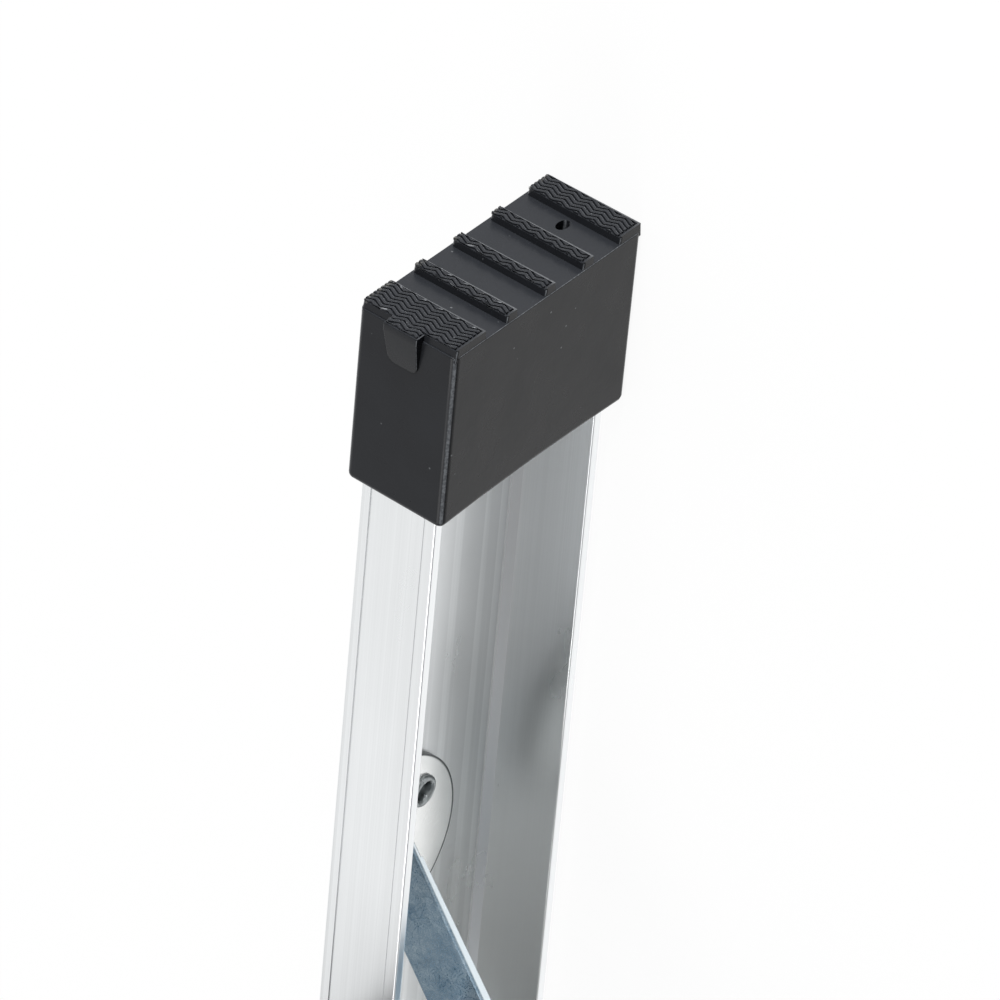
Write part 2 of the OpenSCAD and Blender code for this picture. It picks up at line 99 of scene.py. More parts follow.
def activate(piece):
    """Make a piece the only one selected, and the active one."""
    clear_selection()
    piece.select_set(True)
    bpy.context.view_layer.objects.active = piece


def settle(piece, name):
    """Name a new piece and put its place and size into its mesh."""
    piece.name = name
    piece.data.name = name
    bpy.ops.object.transform_apply(location=True, rotation=True, scale=True)
    return piece


def block(name, one, other):
    """A box between two corners."""
    clear_selection()
    middle = (one + other) / 2
    size = [abs(a - b) for a, b in zip(one, other)]
    bpy.ops.mesh.primitive_cube_add(size=1, location=middle, scale=size)
    return settle(bpy.context.object, name)


def edit(piece, mode="FACE"):
    activate(piece)
    bpy.ops.object.mode_set(mode="EDIT")
    bpy.ops.mesh.select_mode(type=mode)
    bpy.ops.mesh.select_all(action="DESELECT")


def pick(kind, test):
    """In edit mode, select what passes the test: a vertex by its place, an edge by its
    two ends, a face by its middle and normal."""
    bpy.ops.mesh.select_mode(type=kind)
    bpy.ops.mesh.select_all(action="DESELECT")
    mesh = bmesh.from_edit_mesh(bpy.context.edit_object.data)
    if kind == "VERT":
        chosen = [v for v in mesh.verts if test(v.co)]
    elif kind == "EDGE":
        chosen = [e for e in mesh.edges if test(*(v.co for v in e.verts))]
    else:
        chosen = [f for f in mesh.faces if test(f.calc_center_median(), f.normal)]
    for part in chosen:
        part.select_set(True)
    bmesh.update_edit_mesh(bpy.context.edit_object.data)


def shift(x=0, y=0, z=0):
    bpy.ops.transform.translate(value=(x * MM, y * MM, z * MM))


def extrude(x=0, y=0, z=0):
    bpy.ops.mesh.extrude_region_move(TRANSFORM_OT_translate={"value": (x * MM, y * MM, z * MM)})


def round_off(radius, segments):
    """Bevel the selected edges."""
    bpy.ops.mesh.bevel(offset=radius * MM, offset_type="OFFSET", segments=segments,
                       affect="EDGES", clamp_overlap=True)


def apply_modifier(piece, kind, **settings):
    activate(piece)
    made = piece.modifiers.new(kind.lower(), kind)
    for key, value in settings.items():
        setattr(made, key, value)
    bpy.ops.object.modifier_apply(modifier=made.name)


def soften(piece, width, segments, angle):
    """Bevel every edge of a piece that is sharper than the angle."""
    apply_modifier(piece, "BEVEL", width=width * MM, segments=segments, limit_method="ANGLE",
                   angle_limit=math.radians(angle), use_clamp_overlap=True)


def smooth(piece, angle):
    activate(piece)
    bpy.ops.object.shade_smooth_by_angle(angle=math.radians(angle))


def join(pieces, name):
    clear_selection()
    for piece in pieces:
        piece.select_set(True)
    bpy.context.view_layer.objects.active = pieces[0]
    bpy.ops.object.join()
    pieces[0].name = name
    pieces[0].data.name = name
    return pieces[0]


def other_side(piece, name):
    """The same piece on the ladder's left side, mirrored, with its faces turned outwards."""
    copy = piece.copy()
    copy.data = piece.data.copy()
    copy.name = name
    copy.data.name = name
    bpy.context.scene.collection.objects.link(copy)
    edit(copy)
    bpy.ops.mesh.select_all(action="SELECT")
    bpy.ops.transform.resize(value=(1, -1, 1), center_override=(0, 0, 0))
    bpy.ops.mesh.flip_normals()
    bpy.ops.object.mode_set(mode="OBJECT")
    return copy


# ---------------------------------------------------------------- boots

ZIGZAG = 5.13                             # period of the tread's zigzag, along the pad
ZIGZAG_HIGH = 1.3                         # its height, across the pad
LINE_STEP = 1.43                          # from one ridge to the next
TREAD_DEEP = 0.65                         # depth of the grooves between the ridges
RIDGE_TOP = -2.38                         # the ridges' tops, from the sole
BOOT_OUT, BOOT_IN = 26.4, -3.7            # the housing's sides, as foot() measures them
BOOT_BACK, BOOT_FRONT = 69.1, -2.9
BOOT_WALL, SOLE_THICK = 2.9, 4
SLOT_OUT, SLOT_BACK = 11.6, 57.2          # middle of the slot in the sole
PAD_IN = -3.5                             # inner end of every tread pad


def boot_shell():
    """Hollow moulded boot with rounded corners, a soft mouth and a slot through its sole."""
    mouth = boot_len / MM
    shell = block("boot_shell", foot(0, BOOT_OUT, BOOT_BACK), foot(mouth, BOOT_IN, BOOT_FRONT))
    edit(shell)
    pick("FACE", lambda middle, normal: normal.x > 0.9)
    bpy.ops.mesh.inset(thickness=BOOT_WALL * MM)
    wide, deep = (BOOT_OUT - BOOT_IN - 2 * BOOT_WALL, BOOT_BACK - BOOT_FRONT - 2 * BOOT_WALL)
    bpy.ops.transform.resize(value=(1, RAIL_FLANGE / wide, RAIL_DEPTH / deep),
                             center_override=foot(mouth, RAIL_FLANGE, 0))
    extrude(x=SOLE_THICK - mouth)
    end, back = foot(mouth, 0, 0).x, foot(0, 0, BOOT_BACK).z
    pick("VERT", lambda p: abs(p.x - end) < 1e-5 and abs(p.z - back) < 1e-5)
    shift(z=0.5)                          # draft on the back wall
    for across in (12, 33, 48):
        bpy.ops.mesh.select_all(action="SELECT")
        bpy.ops.mesh.bisect(plane_co=foot(0, 0, across), plane_no=(0, 0, 1))
    # the mouth is a little wavy along its long side
    for across, sag in ((BOOT_FRONT, 0.3), (12, -0.4), (33, -0.8), (48, -0.6)):
        level = foot(0, 0, across).z
        pick("VERT", lambda p: abs(p.x - end) < 1e-5 and abs(p.z - level) < 3.1 * MM
             and p.y > foot(0, 1, 0).y)
        shift(x=sag)
    ys = (foot(0, BOOT_OUT, 0).y, foot(0, BOOT_IN, 0).y)
    zs = (foot(0, 0, BOOT_BACK).z, foot(0, 0, BOOT_FRONT).z)

    def sides_at(p):
        """The outer sides of the box that a point lies on."""
        found = {("y", y) for y in ys if abs(p.y - y) < 1e-5}
        found |= {("z", z) for z in zs if abs(p.z - z) < 0.6 * MM}
        found |= {"sole"} if abs(p.x - sole_x) < 1e-5 else set()
        return found | ({"mouth"} if p.x > end - MM else set())

    pick("EDGE", lambda a, b: len(sides_at(a) & sides_at(b)) > 1
         and abs(a.x - sole_x) + abs(b.x - sole_x) > 1e-5)
    round_off(1.9, 6)

    def on_outline(p):
        return (abs(p.x - sole_x) < 1e-5
                and (min(abs(p.y - y) for y in ys) < 2 * MM
                     or min(abs(p.z - z) for z in zs) < 2 * MM))

    # the sole's own edge is crisper
    pick("EDGE", lambda a, b: on_outline(a) and on_outline(b) and on_outline((a + b) / 2))
    round_off(0.35, 3)
    bpy.ops.object.mode_set(mode="OBJECT")

    # slot through the sole
    clear_selection()
    slot_middle = foot(SOLE_THICK / 2, SLOT_OUT, SLOT_BACK)
    bpy.ops.mesh.primitive_cylinder_add(vertices=32, radius=1.5 * MM, depth=3 * SOLE_THICK * MM,
                                        location=slot_middle, rotation=(0, math.pi / 2, 0))
    slot = settle(bpy.context.object, "slot_cutter")
    edit(slot)
    bpy.ops.mesh.select_all(action="SELECT")
    bpy.ops.transform.resize(value=(1, 0.92, 1.5), center_override=slot_middle)
    bpy.ops.object.mode_set(mode="OBJECT")
    apply_modifier(shell, "BOOLEAN", object=slot, operation="DIFFERENCE", solver="EXACT")
    bpy.data.objects.remove(slot)
    middle = foot(0, SLOT_OUT, SLOT_BACK)
    edit(shell)
    pick("EDGE", lambda a, b: all(abs(p.x - sole_x) < 1e-5 and abs(p.y - middle.y) < 2 * MM
                                  and abs(p.z - middle.z) < 3 * MM for p in (a, b)))
    round_off(0.35, 2)
    bpy.ops.object.mode_set(mode="OBJECT")
    return shell


def tread_ridges(near, far, low, high, crest_back, crest_out):
    """Zigzag ridges over a patch of tread: the patch runs from near to far across the pad
    and from low to high along it, and one crest lies at (crest_out, crest_back)."""
    half = ZIGZAG / 2
    columns = int((high - low) / half) + 5
    rows = 2 * (int((far - near + 2 * ZIGZAG_HIGH) / LINE_STEP) + 4)
    width, height = columns * half, rows * LINE_STEP / 2
    # a crest column and the middle of a ridge row come to lie on the given crest
    skip_out = half * (2 * math.floor((low - crest_out - half) / ZIGZAG))
    skip_back = LINE_STEP * math.floor((near - crest_back - ZIGZAG_HIGH) / LINE_STEP - 1)
    first_out = crest_out + skip_out
    first_back = crest_back + skip_back - LINE_STEP / 4
    clear_selection()
    bpy.ops.mesh.primitive_grid_add(
        x_subdivisions=rows, y_subdivisions=columns, size=1,
        location=foot(RIDGE_TOP, first_out + width / 2, first_back + height / 2),
        rotation=(0, math.pi / 2, 0))
    bpy.context.object.scale = (height * MM, width * MM, 1)
    sheet = settle(bpy.context.object, "tread_sheet")
    start_y, start_z = foot(0, first_out, 0).y, foot(0, 0, first_back).z
    edit(sheet)

    def column(p):
        return round((start_y - p.y) / (half * MM))

    def row(p):
        return math.floor((start_z - p.z) / (LINE_STEP / 2 * MM))

    pick("FACE", lambda middle, normal: row(middle) % 2)
    bpy.ops.mesh.delete(type="FACE")
    pick("VERT", lambda p: round((start_z - p.z) / (LINE_STEP / 2 * MM)) % 2)
    shift(z=-0.16)                        # ridges a little wider than the grooves
    pick("VERT", lambda p: column(p) % 2)
    shift(z=-ZIGZAG_HIGH)
    for place, way in ((foot(0, low, 0), (0, 1, 0)), (foot(0, high, 0), (0, -1, 0)),
                       (foot(0, 0, near), (0, 0, 1)), (foot(0, 0, far), (0, 0, -1))):
        bpy.ops.mesh.select_all(action="SELECT")
        bpy.ops.mesh.bisect(plane_co=place, plane_no=way, clear_outer=True)
    bpy.ops.mesh.select_all(action="SELECT")
    bpy.ops.mesh.remove_doubles(threshold=0.2 * MM)
    bpy.ops.object.mode_set(mode="OBJECT")
    return sheet


def tread_pad(near, far, high, crest_out, crest_back):
    """One raised pad of the sole: a drafted block, its rims, and its zigzag ridges."""
    low = PAD_IN
    pad = block("tread_pad", foot(1.5, low, near), foot(TREAD_DEEP - PAD_HIGH, high, far))
    top = foot(TREAD_DEEP - PAD_HIGH, 0, 0).x
    edit(pad)
    pick("FACE", lambda middle, normal: normal.x < -0.9)
    bpy.ops.transform.resize(value=(1, 1 - 0.3 / (high - low), 1 - 0.8 / (far - near)),
                             center_override=foot(0, low, (near + far) / 2))
    bpy.ops.mesh.inset(thickness=0.55 * MM)
    far_z, inner_y = foot(0, 0, far - 0.4).z, foot(0, low, 0).y
    pick("FACE", lambda middle, normal: normal.x < -0.9 and
         (abs(middle.z - far_z) < 0.6 * MM or abs(middle.y - inner_y) < 0.6 * MM))
    extrude(x=-TREAD_DEEP + 0.05)
    web_y, near_z = foot(0, high - 0.5, 0).y, foot(0, 0, near + 0.7).z
    pick("VERT", lambda p: p.x < top - 0.3 * MM and p.y < web_y)
    shift(x=0.3, y=0.3, z=0.1)            # the far rim sinks a little at the web end
    pick("EDGE", lambda a, b: abs(a.x - b.x) > MM and a.y < web_y and b.y < web_y)
    round_off(1.2, 4)
    pick("EDGE", lambda a, b: abs(a.x - b.x) > MM and a.z > near_z and a.y > inner_y - MM)
    round_off(0.7, 3)
    bpy.ops.object.mode_set(mode="OBJECT")
    soften(pad, 0.22, 3, 40)
    sheet = tread_ridges(near + 0.5, far - 0.62, low + 1.05, high - 0.5,
                         crest_back + 0.35, crest_out)
    return [pad, sheet]


def raise_ridges(sheet):
    """Give the flat zigzag strips their depth and soft upper edges."""
    edit(sheet)
    bpy.ops.mesh.select_all(action="SELECT")
    bpy.ops.mesh.dissolve_degenerate(threshold=0.1 * MM)
    bpy.ops.mesh.select_all(action="SELECT")
    extrude(x=TREAD_DEEP + 0.15)
    bpy.ops.mesh.select_all(action="SELECT")
    bpy.ops.mesh.normals_make_consistent(inside=False)
    bpy.ops.object.mode_set(mode="OBJECT")
    soften(sheet, 0.22, 2, 50)
    return sheet


def grip_tongue():
    """Tongue on the front of the boot: treaded on top, thinning away from the sole."""
    low, high = 6.6, 17.0
    tongue = block("tongue", foot(TREAD_DEEP - PAD_HIGH, low, -5.3), foot(0.3, high, -2.0))
    edit(tongue)
    pick("FACE", lambda middle, normal: normal.x > 0.9)
    extrude(x=10.3)
    bpy.ops.transform.resize(value=(1, 0.87, 1), center_override=foot(0, (low + high) / 2, 0))
    end, front = foot(10.4, 0, 0).x, foot(0, 0, -5.0).z
    pick("VERT", lambda p: p.x > end and p.z > front)
    shift(z=-2.15)
    pick("EDGE", lambda a, b: a.x > end and b.x > end and abs(a.z - b.z) > 0.2 * MM)
    round_off(2.2, 5)
    bpy.ops.object.mode_set(mode="OBJECT")
    soften(tongue, 0.35, 3, 35)
    sheet = tread_ridges(-4.95, -2.2, low + 0.35, high - 0.35, -1.2, 0.6)
    return [tongue, sheet]


def make_boots():
    # each pad's front and back edge, its outer end, and one crest of its zigzag
    pads = ((-2.6, 9.0, 26.35, 0.6, -1.55),
            (16.6, 21.0, 26.3, 2.5, 17.6),
            (31.4, 35.7, 26.2, 1.5, 32.6),
            (46.0, 50.5, 26.1, 4.6, 47.4),
            (60.3, 68.8, 26.0, 3.1, 63.4))
    solid, sheets = [], []
    for near, far, high, crest_out, crest_back in pads:
        pad, sheet = tread_pad(near, far, high, crest_out, crest_back)
        solid.append(pad)
        sheets.append(sheet)
    tongue, sheet = grip_tongue()
    solid.append(tongue)
    sheets.append(sheet)
    solid += [raise_ridges(sheet) for sheet in sheets]
    right = join([boot_shell()] + solid, "moulded_boot_right")
    left = other_side(right, "moulded_boot_left")
    for boot, side in ((right, "right"), (left, "left")):
        smooth(boot, 40)
        apply_modifier(boot, "WEIGHTED_NORMAL", keep_sharp=True)
        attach(boot, "base")
        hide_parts("boot_" + side)
    return right, left


# ---------------------------------------------------------------- brace rivets

EAR_GRIP, RUNG_GRIP = 3.4, 4.15           # thickness held by the rivets of ear and rung
HEAD_RADIUS = 4.6
EAR_RIVETS = ((-12.9, 1.1), (20, 6))      # from the ear's middle, and up from RAIL_MID


def tubular_rivet(place, axis, grip):
    """Hollow rivet: rolled head standing on the place along the axis, shank and rolled
    tail below it, a grip's thickness of metal between them."""
    # radius and height, from under the head over its roll and down the hollow
    profile = [(3.8, 0.0), (4.4, 0.0), (HEAD_RADIUS, 0.35), (4.55, 0.8), (4.25, 1.25),
               (3.8, 1.5), (3.4, 1.45), (3.05, 1.15), (2.8, 0.6), (2.5, -0.6), (2.4, -grip),
               (2.6, -grip - 0.9),
               (3.2, -grip - 1.5), (3.9, -grip - 1.5), (4.4, -grip - 1.0), (4.5, -grip - 0.4),
               (4.2, -grip), (3.8, -grip)]
    across = Vector([0 if abs(a) > 0.5 else 1 for a in axis])
    clear_selection()
    bpy.ops.mesh.primitive_circle_add(vertices=40, radius=profile[0][0] * MM, location=place,
                                      rotation=axis.to_track_quat("Z", "X").to_euler())
    rivet = settle(bpy.context.object, "rivet")
    edit(rivet, "EDGE")
    bpy.ops.mesh.select_all(action="SELECT")
    for (wide, high), (next_wide, next_high) in zip(profile, profile[1:] + profile[:1]):
        extrude(*(axis * (next_high - high)))
        ratio = next_wide / wide
        bpy.ops.transform.resize(value=[ratio if a else 1 for a in across],
                                 center_override=place + axis * next_high * MM)
    bpy.ops.mesh.select_all(action="SELECT")
    bpy.ops.mesh.remove_doubles(threshold=0.01 * MM)
    bpy.ops.mesh.normals_make_consistent(inside=False)
    bpy.ops.object.mode_set(mode="OBJECT")
    return rivet


def make_brace_rivets():
    """Three rivets on each side: two through ear and web, one through strap and rung."""
    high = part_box("brace_rivets_right")[1]
    inward, up = Vector((0, 1, 0)), Vector((0, 0, 1))
    seat = -WEB_IN * MM + BRACE_THICK * MM
    parts = [tubular_rivet(Vector((EAR[0] + along * MM, seat, RAIL_MID + rise * MM)),
                           inward, EAR_GRIP)
             for along, rise in EAR_RIVETS]
    strap_face = Vector((high.x - HEAD_RADIUS * MM, high.y - HEAD_RADIUS * MM,
                         high.z - 1.7 * MM))
    parts.append(tubular_rivet(strap_face, up, RUNG_GRIP))
    right = join(parts, "rolled_rivets_right")
    left = other_side(right, "rolled_rivets_left")
    for rivets, side in ((right, "right"), (left, "left")):
        smooth(rivets, 50)
        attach(rivets, "base")
        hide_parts("brace_rivets_" + side)
    return right, left


# ---------------------------------------------------------------- materials

def colour(code):
    """sRGB hex to a linear colour."""
    def linear(v):
        return v / 12.92 if v <= 0.04045 else ((v + 0.055) / 1.055) ** 2.4
    return tuple(linear(int(code[i:i + 2], 16) / 255) for i in (1, 3, 5)) + (1,)


def node(material, kind, inputs=None, **settings):
    """Add a shader node with its settings, and fill or link its inputs."""
    tree = material.node_tree
    made = tree.nodes.new("ShaderNode" + kind)
    for key, value in settings.items():
        setattr(made, key, value)
    for key, value in (inputs or {}).items():
        socket = made.inputs[key] if isinstance(key, int) else next(
            s for s in made.inputs if s.enabled and s.name == key)
        if isinstance(value, bpy.types.Node):
            value = next(s for s in value.outputs if s.enabled)
        if isinstance(value, bpy.types.NodeSocket):
            tree.links.new(value, socket)
        else:
            socket.default_value = value
    return made


def new_material(name, metallic, roughness, **sockets):
    material = bpy.data.materials.new(name)
    material.use_nodes = True
    shader = material.node_tree.nodes["Principled BSDF"]
    shader.inputs["Metallic"].default_value = metallic
    shader.inputs["Roughness"].default_value = roughness
    for key, value in sockets.items():
        shader.inputs[key.replace("_", " ")].default_value = value
    return material, shader


def link(material, made, shader, socket):
    out = next(s for s in made.outputs if s.enabled)
    material.node_tree.links.new(out, shader.inputs[socket])


def put(material, *names):
    for name in names:
        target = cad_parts[name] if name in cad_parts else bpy.data.objects[name]
        target.data.materials.clear()
        target.data.materials.append(material)


def object_place(material):
    """X, Y and Z of the object's own coordinates."""
    return node(material, "SeparateXYZ", {0: node(material, "TexCoord").outputs["Object"]})


def facing_way(material):
    """X, Y and Z of the surface's normal."""
    return node(material, "SeparateXYZ", {0: node(material, "NewGeometry").outputs["Normal"]})


def pattern_place(material, cycle):
    """Object coordinates scaled so that one unit is one cycle of the given millimetres,
    the same along every axis or one for each."""
    if isinstance(cycle, (int, float)):
        cycle = (cycle,) * 3
    place = node(material, "TexCoord").outputs["Object"]
    return node(material, "Mapping", {"Vector": place, "Scale": [1000 / s for s in cycle]})


def noise(material, cycle, detail, roughness=0.5):
    return node(material, "TexNoise", {"Vector": pattern_place(material, cycle), "Scale": 1.0,
                                       "Detail": detail, "Roughness": roughness})


def cells(material, cycle):
    return node(material, "TexVoronoi", {"Vector": pattern_place(material, cycle), "Scale": 1.0})


def maths(material, operation, *values):
    return node(material, "Math", dict(enumerate(values)), operation=operation)


def ramp(material, value, start, end, low=0.0, high=1.0):
    """A value between start and end, brought to between low and high and clamped there."""
    return node(material, "MapRange", {"Value": value, "From Min": start, "From Max": end,
                                       "To Min": low, "To Max": high})


def blend(material, factor, one, other):
    """From one colour to the other, each a socket, a linear colour or an sRGB hex code."""
    one, other = (colour(c) if isinstance(c, str) else c for c in (one, other))
    return node(material, "Mix", {"Factor": factor, "A": one, "B": other}, data_type="RGBA")


def relief(material, height, strength, distance, under=None):
    """Bump from a height, on top of another bump if one is given."""
    made = {"Strength": strength, "Distance": distance, "Height": height}
    if under:
        made["Normal"] = under
    return node(material, "Bump", made)


FLY_RISE = 0.067                          # metres from the base section up to the fly section
FLY_FROM = 0.0701                         # height above which a rail is the fly's
LOW_FLANGE = 0.0102                       # height that only the lowest flange stays under


def mill_aluminium(name, base, roughness, along=(400, 1.1, 1.1), roots=False):
    """Extruded aluminium, mill finish: die lines run the length of the section as faint
    light and dark streaks, with a soft cloud of handling marks and a few short nicks."""
    material, shader = new_material(name, 1.0, roughness)
    wide = noise(material, along, 2.0, 0.6)
    fine = noise(material, [along[0] / 2] + [a / 4 for a in along[1:]], 1.0)
    cloud = noise(material, (60, 25, 25), 4.0, 0.6)
    streak = maths(material, "ADD", wide, fine)
    # nicks: one to a cell of 20 by 7 mm, about 0.3 mm across and 1 mm long
    nicks = cells(material, (20, 7, 7))
    nick = ramp(material, nicks.outputs["Distance"], 0.016, 0.034, 1.0, 0.0)
    tone = ramp(material, streak, 0.7, 1.3)
    light = Vector(colour(base)[:3])
    dark = tuple(light * 0.94) + (1,)
    body = blend(material, tone, dark, colour(base))
    marked = blend(material, nick, body, tuple(light * 0.55) + (1,))
    if roots:
        # heights are brought down to the base's rails, for both sections to look the same
        place = object_place(material)
        across = maths(material, "ABSOLUTE", place.outputs["Y"])
        fly = maths(material, "GREATER_THAN", place.outputs["Z"], FLY_FROM)
        up = maths(material, "MULTIPLY_ADD", fly, -FLY_RISE, place.outputs["Z"])
        off = maths(material, "SUBTRACT", up, RAIL_MID)
        off = maths(material, "ABSOLUTE", off)
        facing = facing_way(material)
        # painted shade: the upper side of the lowest flange is painted greyer, away from the
        # foot; a guess: oxide greys the upper side of the lowest flange, away from the foot
        painted_flange_shade = ramp(material, place.outputs["X"], -1.15, -1.04)
        lowest = maths(material, "LESS_THAN", up, LOW_FLANGE)
        painted_flange_shade = maths(material, "MULTIPLY", painted_flange_shade, lowest)
        upward = maths(material, "GREATER_THAN", facing.outputs["Z"], 0.5)
        painted_flange_shade = maths(material, "MULTIPLY", painted_flange_shade, upward)
        painted_flange_shade = maths(material, "MULTIPLY", painted_flange_shade, 0.8)
        marked = blend(material, painted_flange_shade, marked, "#c9cac8")
        # broad darker bands along the web, taken to be marks of the die
        broad = noise(material, (900, 5.2, 5.2), 2.0, 0.7)
        band = ramp(material, broad, 0.47, 0.53)
        web = maths(material, "GREATER_THAN", across, (WEB_IN - 0.2) * MM)
        band = maths(material, "MULTIPLY", band, web)
        marked = blend(material, band, marked, "#d9dbdc")
        # painted shade on the chamfer between flange and web, painted highlight on the crease
        # beside
        # it: middle and half height from the rail's middle, middle and half width from the
        # ladder's
        for middle, half, out, half_out, tint in (
                (28.6, 0.97, 197.4, 0.97, "#c6c8ca"), (27.3, 0.25, WEB_IN, 0.3, "#fdfdfd")):
            near = maths(material, "COMPARE", off, middle * MM, half * MM)
            inside = maths(material, "COMPARE", across, out * MM, half_out * MM)
            both = maths(material, "MULTIPLY", near, inside)
            marked = blend(material, both, marked, tint)
        # the crease is also raised in the bump
        streak = maths(material, "MULTIPLY_ADD", both, 25.0, streak)
    link(material, marked, shader, "Base Color")
    rough = ramp(material, cloud, 0.3, 0.7, roughness - 0.05, roughness + 0.05)
    link(material, rough, shader, "Roughness")
    height = maths(material, "SUBTRACT", streak, nick)
    bump = relief(material, height, 0.14, 0.03 * MM)
    link(material, bump, shader, "Normal")
    return material


def moulded_rubber():
    """Moulded thermoplastic rubber: near black with a soft sheen and a faint uneven skin from
    the mould, with dust specks and scuffs on the outer ends of the tread. The sole is painted
    lighter and the long sides darker, and painted highlights lie on the backs of the tread's
    ridges and along the middle of rounded edges."""
    material, shader = new_material("moulded rubber", 0.0, 0.27, Specular_IOR_Level=0.15)
    skin = noise(material, 14, 3.0, 0.55)
    grain = noise(material, 0.7, 2.0)
    dust = cells(material, 6.5)
    speck = ramp(material, dust, 0.03, 0.055, 0.5, 0.0)
    body = blend(material, skin, "#1c1d20", "#222428")
    place = object_place(material)
    facing = facing_way(material)
    # painted light and shade: the sole is painted lighter and the long sides darker; a
    # guess: worn and dusty under the sole, clean and darker on the long sides
    under = ramp(material, facing.outputs["X"], -0.7, -0.95)
    side = maths(material, "ABSOLUTE", facing.outputs["Y"])
    side = ramp(material, side, 0.6, 0.95)
    body = blend(material, under, body, "#292b2f")
    body = blend(material, side, body, "#0b0c0f")
    dust_and_face_shading = blend(material, speck, body, "#8a8d90")
    tread = maths(material, "LESS_THAN", place.outputs["X"], sole_x - 1.5 * MM)
    # painted highlight: the backs of the tread's ridges are painted pale, broken up by the grain
    behind = ramp(material, facing.outputs["Z"], -0.15, -0.6)
    rubbed = maths(material, "MULTIPLY", behind, tread)
    uneven = ramp(material, grain, 0.35, 0.65, 0.5, 1.0)
    rubbed = maths(material, "MULTIPLY", rubbed, uneven)
    edged = blend(material, rubbed, dust_and_face_shading, "#a0a3a7")
    across = maths(material, "ABSOLUTE", place.outputs["Y"])
    end = ramp(material, across, 0.2005, 0.2022)
    scuff = ramp(material, grain, 0.5, 0.62)
    scuff = maths(material, "MULTIPLY", scuff, end)
    scuff = maths(material, "MULTIPLY", scuff, tread)
    scuffs_and_highlights = blend(material, scuff, edged, "#6d6c68")
    # painted highlight: rounded edges are painted pale along their middle, broken up by the grain
    for one, turn, other in (("Z", 1.0, "Y"), ("X", -1.0, "Y")):
        level = maths(material, "ABSOLUTE", facing.outputs[other])
        level = maths(material, "MULTIPLY", level, facing.outputs[one])
        level = maths(material, "MULTIPLY", level, turn)
        crest = ramp(material, level, 0.41, 0.485)
        edge_highlight = ramp(material, grain, 0.4, 0.62, 0.5, 1.0)
        edge_highlight = maths(material, "MULTIPLY", edge_highlight, crest)
        scuffs_and_highlights = blend(material, edge_highlight, scuffs_and_highlights, "#6c6f73")
    link(material, scuffs_and_highlights, shader, "Base Color")
    rough = ramp(material, skin, 0.3, 0.7, 0.24, 0.34)
    link(material, rough, shader, "Roughness")
    wavy = relief(material, skin, 0.25, 0.3 * MM)
    bump = relief(material, grain, 0.25, 0.05 * MM, wavy)
    link(material, bump, shader, "Normal")
    return material


def plated_zinc():
    """Zinc-plated and blue-passivated steel sheet with a fine crystalline spangle and clouds of
    duller finish. Split by facing, it is painted as a reflection: blue on top, greyer below,
    pale on sideways edges and pale on the ears that lie against the rails. Painted shade darkens
    the ears towards their rim, where a dark ring is partly sheared edge and partly painted shadow."""
    material, shader = new_material("zinc plated steel", 0.72, 0.2)
    spangle = cells(material, 1.3)
    cloud = noise(material, 18, 4.0, 0.6)
    grey = node(material, "SeparateColor", {"Color": spangle.outputs["Color"]})
    tone = maths(material, "MULTIPLY", grey.outputs[0], cloud)
    speckle = noise(material, 0.4, 2.0)
    tone = maths(material, "MULTIPLY_ADD", tone, 0.4, cloud)
    tone = maths(material, "MULTIPLY_ADD", speckle, 1.3, tone)
    tone = ramp(material, tone, 0.85, 1.7)
    blue = blend(material, tone, "#61829b", "#cfe0ea")
    place = object_place(material)
    facing = facing_way(material)
    # the blue is the passivation's own; the split by facing is painted reflection, blue on top and
    # greyer below
    below = ramp(material, facing.outputs["Z"], 0.0, -0.5)
    sheet = blend(material, below, blue, "#b4b9bc")
    # painted highlight: edges of the sheet that face sideways are painted pale
    edge = maths(material, "ABSOLUTE", facing.outputs["Z"])
    edge = ramp(material, edge, 0.5, 0.3)
    sheet = blend(material, edge, sheet, "#d3dde2")
    across = maths(material, "ABSOLUTE", place.outputs["Y"])
    ear = ramp(material, across, 0.1925, 0.1965)
    # distance from the middle of the ear's round outline
    along = maths(material, "SUBTRACT", place.outputs["X"], EAR[0])
    high = maths(material, "SUBTRACT", place.outputs["Z"], EAR[1])
    flat = node(material, "CombineXYZ", {0: along, 2: high})
    reach = node(material, "VectorMath", {0: flat}, operation="LENGTH").outputs["Value"]
    # partly painted shadow: a dark ring inside the ear's rim stands for its dark sheared edge and
    # the shadow line against the web
    rim = ramp(material, reach, EAR[2] - 0.75 * MM, EAR[2] - 0.35 * MM)
    rim = maths(material, "MULTIPLY", rim, ear)
    # painted reflection: the ears that lie against the rails are painted near white
    pale = blend(material, ear, sheet, "#fbfcfb")
    # painted shade darkens the ear towards its rim, and the ear carries short bright scratches
    painted_rim_shade = ramp(material, reach, EAR[2] * 0.8, EAR[2], 0.0, 0.25)
    painted_rim_shade = maths(material, "MULTIPLY", painted_rim_shade, ear)
    rim_shade_tone = blend(material, cloud, "#939da1", "#cdd3d5")
    pale = blend(material, painted_rim_shade, pale, rim_shade_tone)
    streaks = noise(material, (2.6, 9, 0.35), 1.0)
    scratch = ramp(material, streaks, 0.69, 0.73)
    scratch = maths(material, "MULTIPLY", scratch, ear)
    pale = blend(material, scratch, pale, "#ffffff")
    # the dark ring at the ear's rim: partly sheared edge, partly painted shadow
    body = blend(material, rim, pale, "#4d5052")
    link(material, body, shader, "Base Color")
    rough = ramp(material, cloud, 0.0, 1.0, 0.14, 0.3)
    link(material, rough, shader, "Roughness")
    bump = relief(material, grey.outputs[0], 0.15, 0.02 * MM)
    link(material, bump, shader, "Normal")
    return material


